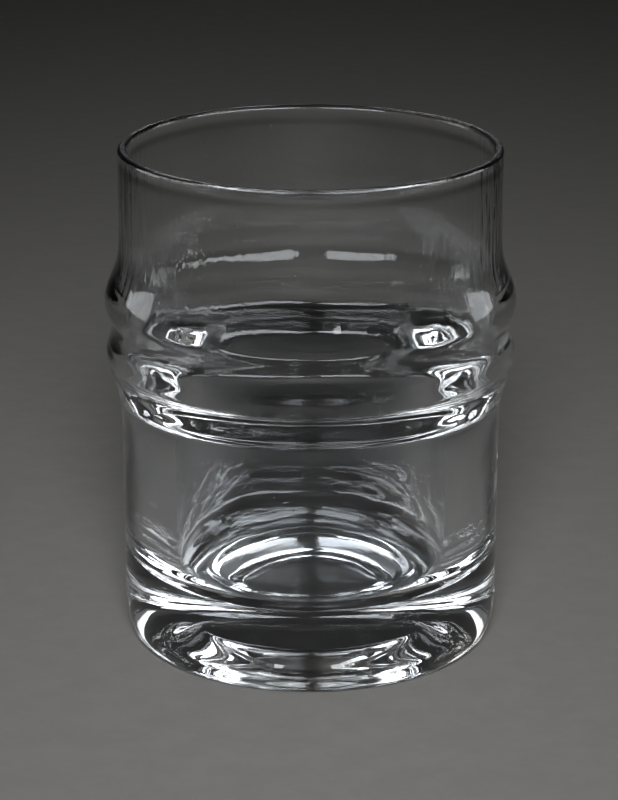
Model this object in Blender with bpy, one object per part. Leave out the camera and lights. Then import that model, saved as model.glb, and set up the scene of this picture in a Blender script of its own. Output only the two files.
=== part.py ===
"""Whiskey tumbler with two swelled rings and a heavy base, turned as one piece of glass.

The glass stands on its foot at the origin, with +Z up its axis. Sizes are in metres.
Its section is one closed outline from the middle of the underside, up the outside,
over the lip and down the inside to the middle of the cavity floor. Turning that
outline once round the axis gives the whole solid.
"""

import math

import bmesh
import bpy

# Overall
HEIGHT = 0.1003
BODY_RADIUS = 0.03762

# The two rings that swell out of the wall
UPPER_RING_LEVEL = 0.0699
UPPER_RING_RISE = 0.00302
LOWER_RING_LEVEL = 0.0593
LOWER_RING_RISE = 0.00285
UPPER_RING_FADE = 0.0060
LOWER_RING_FADE = 0.0068
WAIST_FADE = 0.0048

# Upper wall and lip
WALL = 0.0019
RING_HOLLOW = 0.70

# Thick lower wall around the well of the cavity
WELL_WALL = 0.0106
WELL_DRAFT = 0.0001
WELL_CORNER_WIDTH = 0.0042
WELL_CORNER_HEIGHT = 0.0075
SHOULDER_BOTTOM = 0.0483
SHOULDER_TOP = 0.0577

# Cavity floor, with the low ring that stands up from it round a slightly sunk disc
FLOOR_THICKNESS = 0.0140
FLOOR_MARGIN = 0.0010
FLOOR_RING_WIDTH = 0.0035
FLOOR_RING_HEIGHT = 0.0008
FLOOR_DISC_DROP = 0.0004

# Heel, foot ring and the recess under the base
HEEL_WIDTH = 0.0028
HEEL_HEIGHT = 0.0107
FOOT_RING_WIDTH = 0.0162
RECESS_SLOPE = 0.0050
RECESS_DEPTH = 0.0032

# Fineness of the turned surface
TURN_STEPS = 48
RING_STEPS = 20
CORNER_STEPS = 6

# Glass
GLASS_COLOUR = (0.93, 0.95, 0.95, 1.0)
GLASS_ROUGHNESS = 0.02
GLASS_IOR = 1.51
SHARP_ANGLE = math.radians(35.0)

# Sizes that follow from the ones above
WELL_RADIUS = BODY_RADIUS - WELL_WALL
WELL_BOTTOM = FLOOR_THICKNESS + WELL_CORNER_HEIGHT
FLOOR_RADIUS = WELL_RADIUS - WELL_CORNER_WIDTH
FLOOR_RING_RADIUS = FLOOR_RADIUS - FLOOR_MARGIN
FLOOR_DISC_RADIUS = FLOOR_RING_RADIUS - FLOOR_RING_WIDTH
FOOT_RADIUS = BODY_RADIUS - HEEL_WIDTH
RECESS_MOUTH_RADIUS = FOOT_RADIUS - FOOT_RING_WIDTH
RECESS_TOP_RADIUS = RECESS_MOUTH_RADIUS - RECESS_SLOPE
RINGS_BOTTOM = LOWER_RING_LEVEL - 2.0 * LOWER_RING_FADE
RINGS_TOP = UPPER_RING_LEVEL + 2.0 * UPPER_RING_FADE


def clear_scene():
    """Remove every object, so that the glass is built in an empty scene."""
    for item in list(bpy.context.scene.objects):
        bpy.data.objects.remove(item, do_unlink=True)


def bell(distance, fade):
    """A smooth hump: 1 at its middle, nearly nothing two fades away."""
    return math.exp(-(distance / fade) ** 2)


def ring_swell(level):
    """How far the two rings stand out of the wall at one level."""
    above_upper = level - UPPER_RING_LEVEL
    above_lower = level - LOWER_RING_LEVEL
    upper_fade = UPPER_RING_FADE if above_upper > 0.0 else WAIST_FADE
    lower_fade = WAIST_FADE if above_lower > 0.0 else LOWER_RING_FADE
    upper = UPPER_RING_RISE * bell(above_upper, upper_fade)
    lower = LOWER_RING_RISE * bell(above_lower, lower_fade)
    return upper + lower


def ease(fraction):
    """Go from 0 to 1 with a level start and a level end."""
    held = min(max(fraction, 0.0), 1.0)
    return held * held * (3.0 - 2.0 * held)


def outer_radius(level):
    """Radius of the outside above the heel."""
    return BODY_RADIUS + ring_swell(level)


def well_radius(level):
    """Radius of the well, which opens out towards its top."""
    climb = (level - WELL_BOTTOM) / (SHOULDER_BOTTOM - WELL_BOTTOM)
    return WELL_RADIUS + WELL_DRAFT * climb


def inner_radius(level):
    """Radius of the inside, from the thin wall down through the shoulder to the well."""
    thin_wall = BODY_RADIUS - WALL + RING_HOLLOW * ring_swell(level)
    climb = (level - SHOULDER_BOTTOM) / (SHOULDER_TOP - SHOULDER_BOTTOM)
    well = well_radius(min(level, SHOULDER_BOTTOM))
    return well + (thin_wall - well) * ease(climb)


def evenly(start, end, steps):
    """Values from start to end, both included, an even step apart."""
    return [start + (end - start) * step / steps for step in range(steps + 1)]


def corner(centre, reach, first_degrees, last_degrees):
    """Points along a quarter of an ellipse, given by its centre and its two reaches."""
    points = []
    for degrees in evenly(first_degrees, last_degrees, CORNER_STEPS):
        angle = math.radians(degrees)
        across = centre[0] + reach[0] * math.cos(angle)
        up = centre[1] + reach[1] * math.sin(angle)
        points.append((across, up))
    return points


def underside():
    """The recess ceiling, its sloping side and the flat foot ring."""
    return [
        (0.0, RECESS_DEPTH),
        (RECESS_TOP_RADIUS, RECESS_DEPTH),
        (RECESS_MOUTH_RADIUS, 0.0),
    ]


def outside():
    """The heel, then the wall with its two rings."""
    heel = corner((FOOT_RADIUS, HEEL_HEIGHT), (HEEL_WIDTH, HEEL_HEIGHT), -90.0, 0.0)
    rings = []
    for level in evenly(RINGS_BOTTOM, RINGS_TOP, RING_STEPS):
        rings.append((outer_radius(level), level))
    return heel + rings


def lip():
    """The round top edge, over from the outside to the inside."""
    half_wall = WALL / 2.0
    centre = (BODY_RADIUS - half_wall, HEIGHT - half_wall)
    return corner(centre, (half_wall, half_wall), 0.0, 180.0)


def inside():
    """Down the thin wall, through the shoulder and the well, and round its bottom corner."""
    wall = []
    for level in evenly(RINGS_TOP, SHOULDER_BOTTOM, RING_STEPS):
        wall.append((inner_radius(level), level))
    reach = (WELL_CORNER_WIDTH, WELL_CORNER_HEIGHT)
    return wall + corner((FLOOR_RADIUS, WELL_BOTTOM), reach, 0.0, -90.0)


def cavity_floor():
    """The floor ring, with a low crest, and the slightly sunk disc inside it."""
    disc_level = FLOOR_THICKNESS - FLOOR_DISC_DROP
    crest_radius = (FLOOR_RING_RADIUS + FLOOR_DISC_RADIUS) / 2.0
    return [
        (FLOOR_RING_RADIUS, FLOOR_THICKNESS),
        (crest_radius, FLOOR_THICKNESS + FLOOR_RING_HEIGHT),
        (FLOOR_DISC_RADIUS, disc_level),
        (0.0, disc_level),
    ]


def turn(outline, name):
    """Turn an outline that starts and ends on the axis into one closed solid."""
    shape = bmesh.new()
    points = [shape.verts.new((across, 0.0, up)) for across, up in outline]
    edges = [shape.edges.new(pair) for pair in zip(points, points[1:])]
    bmesh.ops.spin(
        shape,
        geom=points + edges,
        cent=(0.0, 0.0, 0.0),
        axis=(0.0, 0.0, 1.0),
        angle=2.0 * math.pi,
        steps=TURN_STEPS,
        use_merge=True,
    )
    bmesh.ops.remove_doubles(shape, verts=shape.verts, dist=1e-6)
    bmesh.ops.recalc_face_normals(shape, faces=shape.faces)
    mesh = bpy.data.meshes.new(name)
    shape.to_mesh(mesh)
    shape.free()
    mesh.shade_smooth()
    mesh.set_sharp_from_angle(angle=SHARP_ANGLE)
    return mesh


def clear_glass():
    """Colourless soda-lime glass."""
    material = bpy.data.materials.new("clear_glass")
    material.use_nodes = True
    surface = material.node_tree.nodes["Principled BSDF"]
    surface.inputs["Base Color"].default_value = GLASS_COLOUR
    surface.inputs["Roughness"].default_value = GLASS_ROUGHNESS
    surface.inputs["Metallic"].default_value = 0.0
    surface.inputs["IOR"].default_value = GLASS_IOR
    surface.inputs["Transmission Weight"].default_value = 1.0
    return material


def make_glass_body():
    """The whole tumbler: one turned piece of glass."""
    outline = underside() + outside() + lip() + inside() + cavity_floor()
    mesh = turn(outline, "glass_body")
    mesh.materials.append(clear_glass())
    body = bpy.data.objects.new("glass_body", mesh)
    bpy.context.scene.collection.objects.link(body)
    return body


clear_scene()
make_glass_body()
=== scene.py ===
"""A clear whiskey tumbler with two swelled rings and a heavy base, on a pale table in studio light.

The file is laid out as an add-on: property groups hold the sizes, finishes and lights,
one operator makes the glass, one makes the stage, and a panel in the sidebar lists them.
Sizes are in metres, in the part's own frame: +Z up the glass's axis, origin under its foot.
"""

import math

import bpy
import numpy as np
from bpy.props import FloatProperty, FloatVectorProperty, IntProperty, PointerProperty
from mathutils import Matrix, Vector


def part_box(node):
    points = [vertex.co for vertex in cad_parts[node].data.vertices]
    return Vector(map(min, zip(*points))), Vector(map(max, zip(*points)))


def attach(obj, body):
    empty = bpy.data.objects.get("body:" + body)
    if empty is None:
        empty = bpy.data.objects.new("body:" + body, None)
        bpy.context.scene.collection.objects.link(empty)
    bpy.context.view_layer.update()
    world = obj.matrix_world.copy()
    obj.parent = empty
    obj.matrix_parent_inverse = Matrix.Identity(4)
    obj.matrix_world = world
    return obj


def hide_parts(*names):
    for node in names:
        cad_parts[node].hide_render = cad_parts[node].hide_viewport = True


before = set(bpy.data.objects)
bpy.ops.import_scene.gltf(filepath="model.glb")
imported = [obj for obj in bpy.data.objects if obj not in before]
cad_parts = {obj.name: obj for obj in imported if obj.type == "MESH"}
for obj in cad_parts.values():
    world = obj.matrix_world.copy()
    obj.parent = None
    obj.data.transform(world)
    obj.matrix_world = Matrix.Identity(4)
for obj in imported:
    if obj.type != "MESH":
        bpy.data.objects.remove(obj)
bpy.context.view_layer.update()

bl_info = {
    "name": "Whiskey Tumbler",
    "version": (1, 0, 0),
    "blender": (4, 5, 0),
    "location": "3D View > Sidebar > Tumbler",
    "description": "Turns a clear whiskey tumbler and sets it on a pale table in studio light",
    "category": "Add Mesh",
}

FOOT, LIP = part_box("glass_body")

# points along each stretch of the section
FLAT_STEPS = 6
SLOPE_STEPS = 12
HEEL_STEPS = 24
BODY_POINTS = 12
RING_POINTS = 84
NECK_POINTS = 8
LIP_STEPS = 16
BEAD_POINTS = 16
INSIDE_POINTS = 120
CORNER_STEPS = 28
FLOOR_RING_STEPS = 12
DISC_STEPS = 8

# how many fades away from its middle a ring, or the bead, has died out
RING_REACH = 2.6
BEAD_REACH = 2.2

# points nearer the axis than the first are on it, and the wobble is full from the second on
ON_AXIS = 1e-7
WOBBLE_FULL = 0.02

# the inner wall's wander: lobes round the axis, radians in a metre of height, start, share
WANDER = (
    (2.0, 90.0, 0.6, 1.0),
    (3.0, -60.0, 2.1, 0.7),
    (5.0, 150.0, 4.0, 0.35),
    (11.0, -210.0, 1.3, 0.18),
)

# sockets of a Mix node that is set to colours, which share their names with its other sockets
MIX_SHARE, MIX_FIRST, MIX_SECOND, MIX_RESULT = 0, 6, 7, 2

GLASS_IOR = 1.51
TABLE_HALF = 1.6
TABLE_GAP = 0.0002
LIGHT_PATHS = 32
GLOSS_PATHS = 16


# Properties --------------------------------------------------------------------------


def length(name, description, default):
    """A size in metres."""
    return FloatProperty(
        name=name,
        description=description,
        default=default,
        precision=5,
        min=0.0,
        subtype="DISTANCE",
        unit="LENGTH",
    )


def angle(name, description, degrees):
    """An angle, given in degrees and kept in radians."""
    return FloatProperty(
        name=name,
        description=description,
        default=math.radians(degrees),
        subtype="ANGLE",
        unit="ROTATION",
    )


def share(name, description, default, top=1.0):
    """A plain factor."""
    return FloatProperty(name=name, description=description, default=default, min=0.0, max=top)


def colour(name, description, default):
    """A linear colour."""
    return FloatVectorProperty(
        name=name,
        description=description,
        default=default,
        size=3,
        min=0.0,
        max=1.0,
        subtype="COLOR",
    )


class TumblerShape(bpy.types.PropertyGroup):
    """Sizes of the glass."""

    height: length("Height", "From the foot to the top of the lip", LIP[2] - FOOT[2])
    widest: length("Widest radius", "Radius over the upper ring", LIP[0])
    upper_ring: length("Upper ring level", "Height of the upper ring's middle", 0.0699)
    lower_ring: length("Lower ring level", "Height of the lower ring's middle", 0.0593)
    upper_rise: length("Upper ring rise", "How far the upper ring stands out", 0.00302)
    lower_rise: length("Lower ring rise", "How far the lower ring stands out", 0.00285)
    upper_fade: length("Upper fade", "How slowly the upper ring dies away upwards", 0.0060)
    lower_fade: length("Lower fade", "How slowly the lower ring dies away downwards", 0.0068)
    waist_fade: length("Waist fade", "How slowly both rings die away towards the waist", 0.0048)
    wall: length("Wall", "Thickness of the wall at the lip", 0.0019)
    bead: length("Bead", "How far the inside swells just under the lip", 0.00010)
    bead_drop: length("Bead drop", "How far the bead's middle lies below the lip", 0.0024)
    bead_reach: length("Bead reach", "How quickly the bead dies away", 0.0011)
    ring_hollow: share("Ring hollow", "How much of a ring the inside follows", 0.70)
    well_wall: length("Well wall", "Thickness of the wall round the foot of the well", 0.0106)
    well_draft: length("Well draft", "How much wider the well is at its top", 0.0001)
    corner_width: length("Corner width", "Reach of the well's bottom corner inwards", 0.0042)
    corner_height: length("Corner height", "Reach of the well's bottom corner upwards", 0.0075)
    shoulder_bottom: length("Shoulder bottom", "Where the well starts to open out", 0.0483)
    shoulder_top: length("Shoulder top", "Where the thin wall starts", 0.0577)
    floor: length("Floor", "Thickness of the base under the cavity", 0.0140)
    floor_margin: length("Floor margin", "Flat edge outside the floor ring", 0.0010)
    floor_ring: length("Floor ring", "Width of the low ring round the middle disc", 0.0035)
    floor_ring_height: length("Floor ring height", "How far that ring stands up", 0.0008)
    disc_drop: length("Disc drop", "How far the middle disc lies below the floor's edge", 0.0004)
    heel_width: length("Heel width", "How far the heel curves in", 0.0028)
    heel_height: length("Heel height", "Height of the heel's curve", 0.0107)
    foot_ring: length("Foot ring", "Width of the flat ring that the glass stands on", 0.0162)
    recess_slope: length("Recess slope", "Width of the recess's sloping side", 0.0050)
    recess_depth: length("Recess depth", "Depth of the recess under the base", 0.0032)
    wobble: length("Wobble", "How far the inside strays from perfectly round", 0.00012)
    turn_steps: IntProperty(name="Turn steps", description="Facets round the axis", default=240)


class TumblerFinish(bpy.types.PropertyGroup):
    """Finish of the glass and of the table."""

    glass: colour("Glass", "Colour that the glass passes", (0.985, 0.99, 0.99))
    cool_glass: colour("Cool glass", "Colour round the well", (0.93, 0.96, 0.99))
    # painted reflection: golden patches at the heel that stand in for warmer light caught there
    painted_warm_reflection: colour("Warm glass", "Colour in patches at the heel", (0.98, 0.89, 0.78))
    wave_scale: share("Wave scale", "Waves of the well's inside in a metre", 60.0, 1e4)
    wave_height: length("Wave height", "Height of those waves", 0.00014)
    skin_scale: share("Skin scale", "Finer waves of the whole skin in a metre", 260.0, 1e4)
    skin_height: length("Skin height", "Height of the finer waves", 0.00001)
    mark_scale: share("Tool mark scale", "Tool marks in a metre", 900.0, 1e4)
    mark_height: length("Tool mark height", "Height of the tool marks", 0.00004)
    streak_scale: share("Streak scale", "Streaks in a radian of the thin wall", 16.0, 1e4)
    streak_height: length("Streak height", "Height of the streaks", 0.00012)
    grain_scale: share("Grain scale", "Grains of the floor disc in a metre", 1500.0, 1e4)
    grain_height: length("Grain height", "Height of the grains", 0.00003)
    disc_roughness: share("Disc roughness", "Roughness of the floor disc", 0.03)
    dust_spacing: length("Dust spacing", "Distance between specks of dust", 0.0032)
    dust_size: share("Dust size", "Size of a speck, in its spacing", 0.09)
    dust_roughness: share("Dust roughness", "Roughness of a speck", 0.6)
    smear_roughness: share("Smear roughness", "Roughness of a smear", 0.05)
    table: colour("Table", "Colour of the table top", (0.74, 0.73, 0.71))


class TumblerStudio(bpy.types.PropertyGroup):
    """Lights and camera."""

    box_colour: colour("Softbox colour", "Colour of the softboxes' light", (0.92, 0.96, 1.0))
    box_distance: length("Softbox distance", "From the glass to each softbox", 0.8)
    box_strength: share("Softbox strength", "Radiance of each softbox", 7.0, 100.0)
    left_turn: angle("Left softbox turn", "How far left of the camera it stands", -34.0)
    right_turn: angle("Right softbox turn", "How far right of the camera it stands", 51.0)
    left_spread: angle("Left softbox spread", "Width that it takes up, seen from the glass", 36.0)
    right_spread: angle("Right softbox spread", "Width that it takes up, seen from the glass", 68.0)
    box_rise: angle("Softbox rise", "Height of both above the table's plane", 46.0)
    box_depth: angle("Softbox depth", "Height that each takes up, seen from the glass", 27.0)
    rim_turn: angle("Rim panel turn", "How far round from the camera each rim panel stands", 110.0)
    rim_rise: angle("Rim panel rise", "Height of both above the table's plane", 18.0)
    rim_spread: angle("Rim panel spread", "Width that each takes up, seen from the glass", 22.0)
    rim_depth: angle("Rim panel depth", "Height that each takes up, seen from the glass", 26.0)
    rim_strength: share("Rim panel strength", "Radiance of each rim panel", 2.5, 100.0)
    pool_strength: share("Pool strength", "Power of the light over the table", 30.0, 100.0)
    pool_back: length("Pool light back", "How far in front of the pool its light stands", 0.80)
    pool_height: length("Pool light height", "Height of that light", 0.50)
    pool_softness: length("Pool light radius", "Radius of that light", 0.25)
    pool_spread: angle("Pool spread", "Cone of that light", 31.0)
    pool_centre: length("Pool centre", "How far in front of the axis it is aimed", 0.12)
    room: share("Room light", "Brightness of the dim room around", 0.012)
    camera_distance: length("Camera distance", "From the axis to the lens, level", 0.55)
    camera_height: length("Camera height", "From the table to the lens", 0.22697)
    camera_pitch: angle("Camera pitch", "How far the lens looks down", 18.02)
    camera_lens: FloatProperty(name="Lens", description="Focal length in mm", default=86.73)
    sensor: FloatProperty(name="Sensor", description="Sensor height in mm", default=24.0)
    camera_shift: FloatProperty(name="Shift", description="Sideways shift", default=-0.0019)


# The glass's section -----------------------------------------------------------------


def bell(distance, fade):
    """A smooth hump: 1 at its middle, nearly nothing two fades away."""
    return math.exp(-((distance / fade) ** 2))


def ease(fraction):
    """Go from 0 to 1 with a level start and a level end."""
    held = min(max(fraction, 0.0), 1.0)
    return held * held * (3.0 - 2.0 * held)


class Section:
    """Half of the glass cut through its axis."""

    def __init__(self, shape):
        self.s = shape
        self.body = shape.widest - shape.upper_rise
        self.well = self.body - shape.well_wall
        self.well_bottom = shape.floor + shape.corner_height
        self.foot = self.body - shape.heel_width

    def swell(self, level):
        """How far the rings stand out of the wall at one level."""
        s = self.s
        above_upper = level - s.upper_ring
        above_lower = level - s.lower_ring
        upper = bell(above_upper, s.upper_fade if above_upper > 0.0 else s.waist_fade)
        lower = bell(above_lower, s.waist_fade if above_lower > 0.0 else s.lower_fade)
        return s.upper_rise * upper + s.lower_rise * lower

    def outer(self, level):
        """Radius of the outside above the heel."""
        return self.body + self.swell(level)

    def inner(self, level):
        """Radius of the inside, from the lip down to the well."""
        s = self.s
        bead = s.bead * bell(level - s.height + s.bead_drop, s.bead_reach)
        thin = self.body - s.wall - bead + s.ring_hollow * self.swell(level)
        climb = (level - self.well_bottom) / (s.shoulder_bottom - self.well_bottom)
        well = self.well + s.well_draft * min(climb, 1.0)
        opening = (level - s.shoulder_bottom) / (s.shoulder_top - s.shoulder_bottom)
        return well + (thin - well) * ease(opening)

    def underside(self):
        """Recess ceiling, sloping side and foot ring, with softened edges."""
        s = self.s
        mouth = self.foot - s.foot_ring
        top = mouth - s.recess_slope
        rows = [(top * step / FLAT_STEPS, s.recess_depth) for step in range(FLAT_STEPS)]
        for step in range(SLOPE_STEPS + 1):
            down = step / SLOPE_STEPS
            rows.append((top + s.recess_slope * down, s.recess_depth * (1.0 - ease(down))))
        for step in range(1, FLAT_STEPS):
            rows.append((mouth + s.foot_ring * step / FLAT_STEPS, 0.0))
        return rows

    def outside(self):
        """Heel and ringed wall."""
        s = self.s
        heel = (s.heel_width, s.heel_height)
        rings_start = s.lower_ring - RING_REACH * s.lower_fade
        rings_end = s.upper_ring + RING_REACH * s.upper_fade
        lip_start = s.height - s.wall / 2.0
        plain = np.linspace(s.heel_height, rings_start, BODY_POINTS)[1:-1]
        ringed = np.linspace(rings_start, rings_end, RING_POINTS)
        neck = np.linspace(rings_end, lip_start, NECK_POINTS)[1:-1]
        rows = arc((self.foot, s.heel_height), heel, -90, 0, HEEL_STEPS)
        rows += [(self.body, level) for level in plain]
        rows += [(self.outer(level), level) for level in ringed]
        rows += [(self.body, level) for level in neck]
        return rows

    def lip(self):
        """The round top edge, from the outside over to the inside."""
        half = self.s.wall / 2.0
        return arc((self.body - half, self.s.height - half), (half, half), 0, 180, LIP_STEPS)

    def inside(self):
        """Thin wall, shoulder, well and its round corner."""
        s = self.s
        lip_end = s.height - s.wall / 2.0
        bead_end = s.height - s.bead_drop - BEAD_REACH * s.bead_reach
        levels = list(np.linspace(lip_end, bead_end, BEAD_POINTS)[1:])
        levels += list(np.linspace(bead_end, self.well_bottom, INSIDE_POINTS)[1:-1])
        rows = [(self.inner(level), level) for level in levels]
        centre = (self.well - s.corner_width, self.well_bottom)
        rows += arc(centre, (s.corner_width, s.corner_height), 0, -90, CORNER_STEPS)
        return rows

    def floor(self):
        """Cavity floor, with its low ring round a slightly sunk disc."""
        s = self.s
        ring_out = self.well - s.corner_width - s.floor_margin
        ring_in = ring_out - s.floor_ring
        rows = []
        for step in range(1, FLOOR_RING_STEPS + 1):
            across = step / FLOOR_RING_STEPS
            ridge = s.floor_ring_height * math.sin(math.pi * across) ** 2
            level = s.floor + ridge - s.disc_drop * ease(across)
            rows.append((ring_out - s.floor_ring * across, level))
        low = rows[-1][1]
        for step in range(1, DISC_STEPS + 1):
            rows.append((ring_in * (1.0 - step / DISC_STEPS), low))
        return rows

    def outline(self):
        """The whole section, and for each point whether it is on the inside."""
        lip = self.lip()
        top = LIP_STEPS // 2 + 1
        out_rows = self.underside() + self.outside() + lip[:top]
        in_rows = lip[top:] + self.inside() + self.floor()
        flags = [0.0] * len(out_rows) + [1.0] * len(in_rows)
        return np.array(out_rows + in_rows), np.array(flags)


def arc(centre, reach, first, last, steps):
    """Points along part of an ellipse, from its centre, reaches and end angles."""
    turn = np.radians(np.linspace(first, last, steps + 1))
    across = centre[0] + reach[0] * np.cos(turn)
    up = centre[1] + reach[1] * np.sin(turn)
    return list(zip(across, up))


def stray(turn, level, amount):
    """A slow hand-made wander of the inner wall, round the axis and up it."""
    wander = np.zeros_like(turn)
    for lobes, climb, start, part in WANDER:
        wander += part * np.sin(lobes * turn + climb * level + start)
    return amount * wander


def turned_mesh(name, rows, flags, steps, wobble):
    """Turn the section once round the axis, with the inside slightly out of true."""
    turn = np.linspace(0.0, 2.0 * math.pi, steps, endpoint=False)
    verts = []
    inside = []
    rings = []
    for (across, level), flag in zip(rows, flags):
        first = len(verts)
        if across < ON_AXIS:
            verts.append((0.0, 0.0, level))
            inside.append(flag)
            rings.append([first] * steps)
            continue
        calm = ease(across / WOBBLE_FULL)
        radius = across + flag * calm * stray(turn, level, wobble)
        for at, out in zip(turn, radius):
            verts.append((out * math.cos(at), out * math.sin(at), level))
            inside.append(flag)
        rings.append(list(range(first, first + steps)))
    faces = []
    for low, high in zip(rings, rings[1:]):
        for here in range(steps):
            after = (here + 1) % steps
            face = []
            for corner in (low[here], low[after], high[after], high[here]):
                if corner not in face:
                    face.append(corner)
            faces.append(face)
    mesh = bpy.data.meshes.new(name)
    mesh.from_pydata(verts, [], faces)
    mesh.update()
    mask = mesh.attributes.new("inside", "FLOAT", "POINT")
    mask.data.foreach_set("value", inside)
    mesh.shade_smooth()
    return mesh


# Node helpers ------------------------------------------------------------------------


class Wiring:
    """Adds nodes to one tree and wires them up."""

    def __init__(self, tree):
        self.tree = tree

    def node(self, kind, settings=None, **inputs):
        """Add a node, with its settings, and set or wire its inputs by name."""
        made = self.tree.nodes.new(kind)
        for key, value in (settings or {}).items():
            setattr(made, key, value)
        for key, value in inputs.items():
            self.feed(made.inputs[key.replace("_", " ")], value)
        return made

    def feed(self, socket, value):
        """Wire a socket to another socket, or set its value."""
        if isinstance(value, bpy.types.NodeSocket):
            self.tree.links.new(value, socket)
        else:
            socket.default_value = value

    def sums(self, operation, *values):
        """Work out one step of arithmetic on sockets or numbers."""
        made = self.tree.nodes.new("ShaderNodeMath")
        made.operation = operation
        for socket, value in zip(made.inputs, values):
            self.feed(socket, value)
        return made.outputs[0]

    def total(self, *values):
        """Add any number of sockets."""
        result = values[0]
        for value in values[1:]:
            result = self.sums("ADD", result, value)
        return result

    def band(self, value, low, high, start=0.0, end=1.0):
        """Map a value smoothly from one range to another."""
        made = self.node(
            "ShaderNodeMapRange",
            {"interpolation_type": "SMOOTHSTEP"},
            Value=value,
            From_Min=low,
            From_Max=high,
            To_Min=start,
            To_Max=end,
        )
        return made.outputs["Result"]

    def noise(self, place, scale, detail=2.0, roughness=0.5, distortion=0.0):
        """Soft random values between 0 and 1."""
        made = self.node(
            "ShaderNodeTexNoise",
            Vector=place,
            Scale=scale,
            Detail=detail,
            Roughness=roughness,
            Distortion=distortion,
        )
        return made.outputs["Fac"]

    def blend(self, share_of, first, second):
        """Mix two colours."""
        made = self.node("ShaderNodeMix", {"data_type": "RGBA"})
        self.feed(made.inputs[MIX_SHARE], share_of)
        for at, value in ((MIX_FIRST, first), (MIX_SECOND, second)):
            wired = isinstance(value, bpy.types.NodeSocket)
            self.feed(made.inputs[at], value if wired else (*value, 1.0))
        return made.outputs[MIX_RESULT]


def speck_group():
    """Specks of dust: a mask of tiny scattered dots and a soft mottle between them."""
    name = "dust_specks"
    dusty_cells = 0.45
    mottle_fineness = 0.35
    if name in bpy.data.node_groups:
        return bpy.data.node_groups[name]
    group = bpy.data.node_groups.new(name, "ShaderNodeTree")
    sockets = (
        ("Place", "INPUT", "NodeSocketVector"),
        ("Spacing", "INPUT", "NodeSocketFloat"),
        ("Dot Size", "INPUT", "NodeSocketFloat"),
        ("Specks", "OUTPUT", "NodeSocketFloat"),
        ("Mottle", "OUTPUT", "NodeSocketFloat"),
    )
    for title, way, kind in sockets:
        group.interface.new_socket(title, in_out=way, socket_type=kind)
    wiring = Wiring(group)
    given = group.nodes.new("NodeGroupInput").outputs
    result = group.nodes.new("NodeGroupOutput").inputs
    fineness = wiring.sums("DIVIDE", 1.0, given["Spacing"])
    cells = wiring.node("ShaderNodeTexVoronoi", Vector=given["Place"], Scale=fineness)
    chance = wiring.node("ShaderNodeSeparateColor", Color=cells.outputs["Color"])
    reach = wiring.sums("MULTIPLY", given["Dot Size"], chance.outputs["Green"])
    dot = wiring.sums("LESS_THAN", cells.outputs["Distance"], reach)
    kept = wiring.sums("LESS_THAN", chance.outputs["Red"], dusty_cells)
    wiring.feed(result["Specks"], wiring.sums("MULTIPLY", dot, kept))
    broad = wiring.sums("MULTIPLY", fineness, mottle_fineness)
    mottle = wiring.noise(given["Place"], broad, detail=3.0, roughness=0.65)
    wiring.feed(result["Mottle"], mottle)
    return group


def specks(wiring, place, spacing, dot_size):
    """Place the speck group in a material, and give back its two outputs."""
    made = wiring.node("ShaderNodeGroup", {"node_tree": speck_group()})
    wiring.feed(made.inputs["Place"], place)
    made.inputs["Spacing"].default_value = spacing
    made.inputs["Dot Size"].default_value = dot_size
    return made.outputs["Specks"], made.outputs["Mottle"]


# Materials ---------------------------------------------------------------------------


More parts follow.
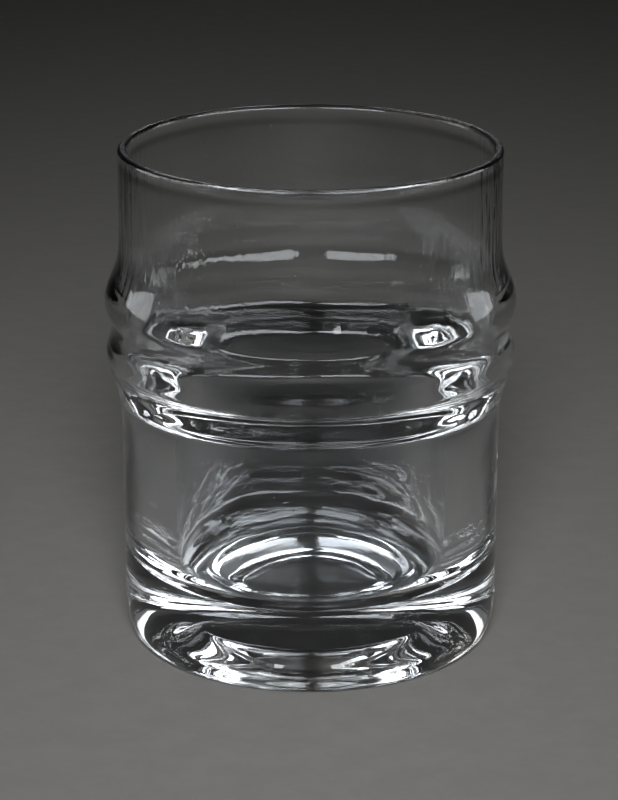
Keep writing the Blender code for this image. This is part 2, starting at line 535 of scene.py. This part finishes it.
class GlassEffects:
    """Places on the glass, and the effects that each of them has."""

    # disc and tool marks: radii where each starts and is full, and levels over the floor
    disc_edge = (0.0150, 0.0135)
    marks_edge = (0.0130, 0.0165)
    marks_fade = (0.0120, 0.0030)
    # wander of the tool marks: how fine it is in a metre, and how far it reaches
    marks_wander = (90.0, 0.0022)
    # how quickly a streak changes up the wall, and how far over the upper ring it is full
    streak_climb = 60.0
    streaks_full = 0.0080
    # mottle that shows as a smear
    smear_range = (0.52, 0.78)
    # tints: patches in a metre, and the patch values where a tint starts and is full; the cool tint
    # is the glass's own, the golden one at the heel is a painted reflection
    patch_scale = 45.0
    cool_range = (0.35, 0.60)
    painted_warm_range = (0.50, 0.62)

    def __init__(self, wiring, finish, shape):
        self.wiring = wiring
        self.finish = finish
        self.shape = shape
        self.place = wiring.node("ShaderNodeTexCoord").outputs["Object"]
        parts = wiring.node("ShaderNodeSeparateXYZ", Vector=self.place).outputs
        self.level = parts["Z"]
        squares = [wiring.sums("POWER", parts[way], 2.0) for way in "XY"]
        self.across = wiring.sums("SQRT", wiring.total(*squares))
        self.turn = wiring.sums("ARCTAN2", parts["Y"], parts["X"])
        mask = wiring.node("ShaderNodeAttribute", {"attribute_name": "inside"})
        self.inside = mask.outputs["Fac"]
        self.in_well = wiring.band(self.level, shape.shoulder_top, shape.shoulder_bottom)
        starts, full = (shape.floor + above for above in self.marks_fade)
        self.low = wiring.band(self.level, starts, full)
        disc = self.product(wiring.band(self.across, *self.disc_edge), self.low)
        self.disc = self.product(disc, self.inside)

    def product(self, first, second):
        """Multiply two values."""
        return self.wiring.sums("MULTIPLY", first, second)

    def waves(self):
        """Waves left by the hand that worked the glass, inside the well."""
        slow = self.wiring.noise(
            self.place,
            self.finish.wave_scale,
            detail=1.0,
            roughness=0.45,
            distortion=0.6,
        )
        waves = self.product(slow, self.product(self.inside, self.in_well))
        return self.product(waves, self.finish.wave_height)

    def skin(self):
        """Finer waves over the whole surface."""
        skin = self.wiring.noise(self.place, self.finish.skin_scale, detail=1.0)
        return self.product(skin, self.finish.skin_height)

    def marks(self):
        """Rings that the tool leaves round the foot of the well."""
        wiring = self.wiring
        fineness, reach = self.marks_wander
        wander = self.product(wiring.noise(self.place, fineness, detail=1.0), reach)
        out = wiring.node("ShaderNodeCombineXYZ", X=wiring.sums("ADD", self.across, wander))
        marks = wiring.noise(out.outputs["Vector"], self.finish.mark_scale, roughness=0.6)
        ringed = self.product(wiring.band(self.across, *self.marks_edge), self.low)
        marks = self.product(marks, self.product(ringed, self.inside))
        return self.product(marks, self.finish.mark_height)

    def streaks(self):
        """Upright streaks down the thin wall."""
        wiring = self.wiring
        streak_place = wiring.node(
            "ShaderNodeCombineXYZ",
            X=self.product(self.turn, self.finish.streak_scale),
            Y=self.product(self.level, self.streak_climb),
        )
        streaks = wiring.noise(streak_place.outputs["Vector"], scale=1.0, roughness=0.6)
        start = self.shape.upper_ring
        upper = wiring.band(self.level, start, start + self.streaks_full)
        return self.product(self.product(streaks, upper), self.finish.streak_height)

    def grain(self):
        """A fine grain pressed into the disc in the middle of the floor."""
        grain = self.wiring.noise(self.place, self.finish.grain_scale, roughness=0.7)
        return self.product(self.product(grain, self.disc), self.finish.grain_height)

    def roughness(self):
        """Dust and smears inside, which blur what is seen through them."""
        wiring = self.wiring
        finish = self.finish
        dots, mottle = specks(wiring, self.place, finish.dust_spacing, finish.dust_size)
        smears = wiring.band(mottle, *self.smear_range, 0.0, finish.smear_roughness)
        dust = self.product(dots, finish.dust_roughness)
        disc = self.product(self.disc, finish.disc_roughness)
        return self.product(wiring.total(smears, dust, disc), self.inside)

    def tint(self):
        """Faint tints: the glass's own cooler tint round the well, and a painted golden reflection
        in patches at the heel.
        """
        wiring = self.wiring
        finish = self.finish
        patches = wiring.noise(self.place, self.patch_scale, detail=1.0)
        cool = self.product(self.in_well, wiring.band(patches, *self.cool_range))
        tint = wiring.blend(cool, tuple(finish.glass), tuple(finish.cool_glass))
        # painted reflection: golden patches low on the heel stand in for warmer light caught there
        at_heel = wiring.band(self.level, self.shape.heel_height, 0.0)
        painted_warm = self.product(at_heel, wiring.band(patches, *self.painted_warm_range))
        return wiring.blend(painted_warm, tint, tuple(finish.painted_warm_reflection))


def clear_glass(finish, shape):
    """Clear pressed glass: wavy inside, with tool marks, fine streaks, dust, faint tints and a
    painted golden reflection at the heel.
    """
    material = bpy.data.materials.new("clear_glass")
    material.use_nodes = True
    wiring = Wiring(material.node_tree)
    surface = material.node_tree.nodes["Principled BSDF"].inputs
    on = GlassEffects(wiring, finish, shape)
    height = wiring.total(on.waves(), on.skin(), on.marks(), on.streaks(), on.grain())
    bump = wiring.node("ShaderNodeBump", Height=height, Distance=1.0, Strength=1.0)
    wiring.feed(surface["Normal"], bump.outputs["Normal"])
    wiring.feed(surface["Roughness"], on.roughness())
    wiring.feed(surface["Base Color"], on.tint())
    surface["IOR"].default_value = GLASS_IOR
    surface["Transmission Weight"].default_value = 1.0
    return material


def table_top(finish):
    """Matt pale table with a faint mottle and a fine grain."""
    material = bpy.data.materials.new("table_top")
    material.use_nodes = True
    wiring = Wiring(material.node_tree)
    surface = material.node_tree.nodes["Principled BSDF"].inputs
    place = wiring.node("ShaderNodeTexCoord").outputs["Object"]
    dots, mottle = specks(wiring, place, spacing=0.0030, dot_size=0.12)
    mottle_range = (0.3, 0.7)
    darkest = 0.93
    smoothest, roughest = 0.62, 0.78
    grain_scale, grain_height, grain_strength = 900.0, 0.00004, 0.6
    darker = tuple(darkest * part for part in finish.table)
    tint = wiring.blend(wiring.band(mottle, *mottle_range), tuple(finish.table), darker)
    wiring.feed(surface["Base Color"], tint)
    rough = wiring.band(mottle, *mottle_range, smoothest, roughest)
    wiring.feed(surface["Roughness"], rough)
    grain = wiring.total(wiring.noise(place, grain_scale, detail=3.0), dots)
    bump = wiring.node(
        "ShaderNodeBump", Height=grain, Distance=grain_height, Strength=grain_strength
    )
    wiring.feed(surface["Normal"], bump.outputs["Normal"])
    return material


# Operators ---------------------------------------------------------------------------


class TUMBLER_OT_glass(bpy.types.Operator):
    """Turn the glass and give it its finish"""

    bl_idname = "tumbler.glass"
    bl_label = "Turn the Glass"

    def execute(self, context):
        shape = context.scene.tumbler_shape
        finish = context.scene.tumbler_finish
        rows, flags = Section(shape).outline()
        mesh = turned_mesh("tumbler_glass", rows, flags, shape.turn_steps, shape.wobble)
        mesh.materials.append(clear_glass(finish, shape))
        glass = bpy.data.objects.new("tumbler_glass", mesh)
        context.scene.collection.objects.link(glass)
        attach(glass, "root")
        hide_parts("glass_body")
        return {"FINISHED"}


class TUMBLER_OT_stage(bpy.types.Operator):
    """Set the table, the lights and the camera"""

    bl_idname = "tumbler.stage"
    bl_label = "Set the Stage"

    def execute(self, context):
        scene = context.scene
        make_table(scene)
        make_panels(scene)
        make_pool(scene)
        make_room(scene)
        make_camera(scene)
        return {"FINISHED"}


def link_light(lamp, receiver):
    """Let a light reach only one object."""
    group = bpy.data.collections.new(lamp.name + "_reach")
    group.objects.link(bpy.data.objects[receiver])
    lamp.light_linking.receiver_collection = group


def aim(item, target):
    """Point an object's -Z at a place."""
    toward = Vector(target) - item.location
    item.rotation_euler = toward.to_track_quat("-Z", "Y").to_euler()


def make_table(scene):
    """A plain pale table top."""
    half = TABLE_HALF
    mesh = bpy.data.meshes.new("table")
    corners = [(-half, -half, 0.0), (half, -half, 0.0), (half, half, 0.0), (-half, half, 0.0)]
    mesh.from_pydata(corners, [], [(0, 1, 2, 3)])
    mesh.materials.append(table_top(scene.tumbler_finish))
    table = bpy.data.objects.new("table", mesh)
    table.location.z = FOOT[2] - TABLE_GAP
    scene.collection.objects.link(table)


def make_panel(scene, name, turn, rise, spread, depth, strength):
    """A broad soft panel that shines on the glass, placed and sized by the angles it fills."""
    far = scene.tumbler_studio.box_distance
    width = 2.0 * far * math.tan(spread / 2.0)
    height = 2.0 * far * math.tan(depth / 2.0)
    light = bpy.data.lights.new(name, "AREA")
    light.shape = "RECTANGLE"
    light.size = width
    light.size_y = height
    light.energy = strength * width * height * math.pi
    light.color = scene.tumbler_studio.box_colour
    lamp = bpy.data.objects.new(name, light)
    level = far * math.cos(rise)
    middle = LIP[2] / 2.0
    lamp.location = (
        level * math.sin(turn),
        -level * math.cos(turn),
        middle + far * math.sin(rise),
    )
    aim(lamp, (0.0, 0.0, middle))
    lamp.visible_camera = False
    scene.collection.objects.link(lamp)
    link_light(lamp, "tumbler_glass")


def make_panels(scene):
    """Two softboxes in front and two dimmer rim panels behind, one of each on either side."""
    studio = scene.tumbler_studio
    boxes = (studio.box_depth, studio.box_strength)
    rims = (studio.rim_spread, studio.rim_depth, studio.rim_strength)
    make_panel(scene, "left_box", studio.left_turn, studio.box_rise, studio.left_spread, *boxes)
    make_panel(scene, "right_box", studio.right_turn, studio.box_rise, studio.right_spread, *boxes)
    make_panel(scene, "left_rim", -studio.rim_turn, studio.rim_rise, *rims)
    make_panel(scene, "right_rim", studio.rim_turn, studio.rim_rise, *rims)


def make_pool(scene):
    """A soft pool of light on the table round the glass, from low in front of it."""
    studio = scene.tumbler_studio
    light = bpy.data.lights.new("table_pool", "SPOT")
    light.energy = studio.pool_strength
    light.spot_size = studio.pool_spread
    light.spot_blend = 1.0
    light.shadow_soft_size = studio.pool_softness
    lamp = bpy.data.objects.new("table_pool", light)
    lamp.location = (0.0, -studio.pool_centre - studio.pool_back, studio.pool_height)
    aim(lamp, (0.0, -studio.pool_centre, 0.0))
    lamp.visible_camera = False
    scene.collection.objects.link(lamp)
    link_light(lamp, "table")


def make_room(scene):
    """A dim even room, with light paths long enough for thick glass and no caustics."""
    world = bpy.data.worlds.new("room")
    world.use_nodes = True
    dim = scene.tumbler_studio.room
    world.node_tree.nodes["Background"].inputs["Color"].default_value = (dim, dim, dim, 1.0)
    scene.world = world
    scene.view_settings.view_transform = "Standard"
    scene.cycles.max_bounces = LIGHT_PATHS
    scene.cycles.transmission_bounces = LIGHT_PATHS
    scene.cycles.glossy_bounces = GLOSS_PATHS
    scene.cycles.caustics_refractive = False
    scene.cycles.caustics_reflective = False


def make_camera(scene):
    """The camera, looking down on the glass from the front."""
    studio = scene.tumbler_studio
    data = bpy.data.cameras.new("camera")
    data.sensor_fit = "VERTICAL"
    data.sensor_height = studio.sensor
    data.lens = studio.camera_lens
    data.shift_x = studio.camera_shift
    data.clip_start = 0.01
    camera = bpy.data.objects.new("camera", data)
    camera.location = (0.0, -studio.camera_distance, studio.camera_height)
    camera.rotation_euler = (math.pi / 2.0 - studio.camera_pitch, 0.0, 0.0)
    scene.collection.objects.link(camera)
    scene.camera = camera


# Panel and registration --------------------------------------------------------------


class TUMBLER_PT_sidebar(bpy.types.Panel):
    """The tumbler's own panel"""

    bl_label = "Whiskey Tumbler"
    bl_idname = "TUMBLER_PT_sidebar"
    bl_space_type = "VIEW_3D"
    bl_region_type = "UI"
    bl_category = "Tumbler"

    def draw(self, context):
        for maker in MAKERS:
            self.layout.operator(maker.bl_idname)
        for group in GROUPS:
            values = getattr(context.scene, group)
            for key in values.bl_rna.properties.keys():
                if key not in ("rna_type", "name"):
                    self.layout.prop(values, key)


GROUPS = {
    "tumbler_shape": TumblerShape,
    "tumbler_finish": TumblerFinish,
    "tumbler_studio": TumblerStudio,
}
MAKERS = (TUMBLER_OT_glass, TUMBLER_OT_stage)
CLASSES = (*GROUPS.values(), *MAKERS, TUMBLER_PT_sidebar)


def register():
    """Register the classes and hang the property groups on the scene."""
    for item in CLASSES:
        bpy.utils.register_class(item)
    for name, group in GROUPS.items():
        setattr(bpy.types.Scene, name, PointerProperty(type=group))


def unregister():
    """Undo register."""
    for name in GROUPS:
        delattr(bpy.types.Scene, name)
    for item in reversed(CLASSES):
        bpy.utils.unregister_class(item)


def main():
    """Register the add-on and make everything in order."""
    register()
    for maker in MAKERS:
        group, action = maker.bl_idname.split(".")
        getattr(getattr(bpy.ops, group), action)()


if __name__ == "__main__":
    main()
